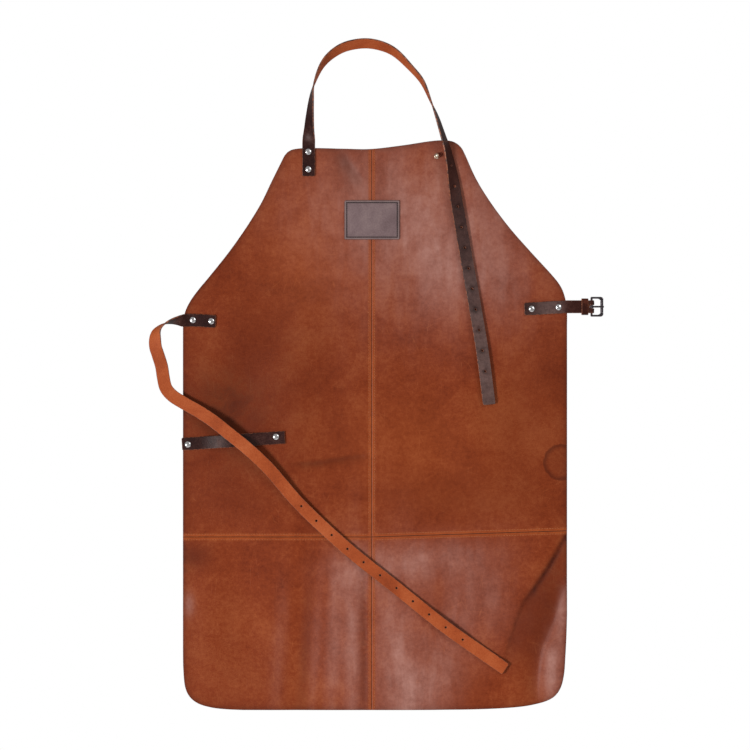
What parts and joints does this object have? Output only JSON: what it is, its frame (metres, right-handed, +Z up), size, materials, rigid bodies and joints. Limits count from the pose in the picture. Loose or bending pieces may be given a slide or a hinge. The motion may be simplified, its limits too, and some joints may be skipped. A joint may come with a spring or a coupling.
{
  "type": "welding apron",
  "caption": "Full-length leather welding apron with a bib, neck strap, turned-back waist strap, tool loop and roller buckle.",
  "frame": {"origin": "middle of the bottom hem, on the back face of the apron", "axes": "+Z up the apron towards the neck strap, -Y out of the front (grain side), +Y out of the back face towards the wearer, +X to the right of the front view, where the buckle is"},
  "size_m": [0.709, 0.026, 1.0479],
  "materials": {
    "apron_leather": "waxed pull-up, satin",
    "strap_leather": "dark brown grain side, tan flesh side",
    "label_leather": "satin",
    "seam_thread": "bonded thread",
    "label_thread": "bonded thread",
    "rivet_steel": "nickel plated",
    "stud_brass": "polished",
    "buckle_metal": "dark nickel plated"
  },
  "bodies": {
    "apron": {"upper_left_panel": "apron_leather", "upper_right_panel": "apron_leather", "lower_left_panel": "apron_leather", "lower_right_panel": "apron_leather", "centre_seam_thread": "seam_thread", "cross_seam_thread": "seam_thread", "label_patch": "label_leather", "label_thread": "label_thread", "neck_strap_anchor": "strap_leather", "neck_rivet_caps": "rivet_steel", "neck_rivet_posts": "rivet_steel", "strap_stud": "stud_brass", "stud_screw": "stud_brass", "waist_strap_anchor": "strap_leather", "waist_rivet_caps": "rivet_steel", "waist_rivet_posts": "rivet_steel", "tool_loop": "strap_leather", "tool_loop_rivet_caps": "rivet_steel", "tool_loop_rivet_posts": "rivet_steel", "buckle_strap_anchor": "strap_leather", "buckle_rivet_caps": "rivet_steel", "buckle_rivet_posts": "rivet_steel"},
    "neck_loop": {"neck_strap_loop": "strap_leather"},
    "neck_tail": {"neck_strap_tail": "strap_leather"},
    "waist_strap": {"waist_strap": "strap_leather"},
    "buckle_strap": {"buckle_strap_end": "strap_leather"},
    "buckle_keeper": {"buckle_keeper": "strap_leather"},
    "buckle_frame": {"buckle_frame": "buckle_metal"},
    "buckle_prong": {"buckle_prong": "buckle_metal"},
    "buckle_roller": {"buckle_roller": "buckle_metal"}
  },
  "joints": [
    {"name": "neck_loop_fold", "type": "hinge", "parent": "apron", "child": "neck_loop", "pos_m": [-0.104, -0.0033, 0.882], "axis": [0.9985, 0, 0.0555], "range_deg": [-110, 30]},
    {"name": "neck_tail_lift", "type": "hinge", "parent": "apron", "child": "neck_tail", "pos_m": [0.112, -0.0215, 0.877], "axis": [-1, 0, 0], "range_deg": [0, 80]},
    {"name": "waist_strap_swing", "type": "hinge", "parent": "apron", "child": "waist_strap", "pos_m": [-0.342, -0.0132, 0.57], "axis": [0, 0, 1], "range_deg": [-175, 0]},
    {"name": "buckle_strap_flex", "type": "hinge", "parent": "apron", "child": "buckle_strap", "pos_m": [0.304, -0.0033, 0.63], "axis": [0, 0, 1], "range_deg": [-45, 45]},
    {"name": "keeper_slide", "type": "slide", "parent": "buckle_strap", "child": "buckle_keeper", "axis": [1, 0, 0], "range_m": [-0.008, 0]},
    {"name": "buckle_swing", "type": "hinge", "parent": "buckle_strap", "child": "buckle_frame", "pos_m": [0.3382, -0.00198, 0.63], "axis": [0, 0, 1], "range_deg": [-60, 60]},
    {"name": "prong_swing", "type": "hinge", "parent": "buckle_frame", "child": "buckle_prong", "pos_m": [0.3382, -0.00198, 0.63], "axis": [0, 0, -1], "range_deg": [0, 90]},
    {"name": "roller_spin", "type": "hinge", "parent": "buckle_frame", "child": "buckle_roller", "pos_m": [0.3542, -0.00198, 0.63], "axis": [0, 0, 1], "continuous": true}
  ]
}
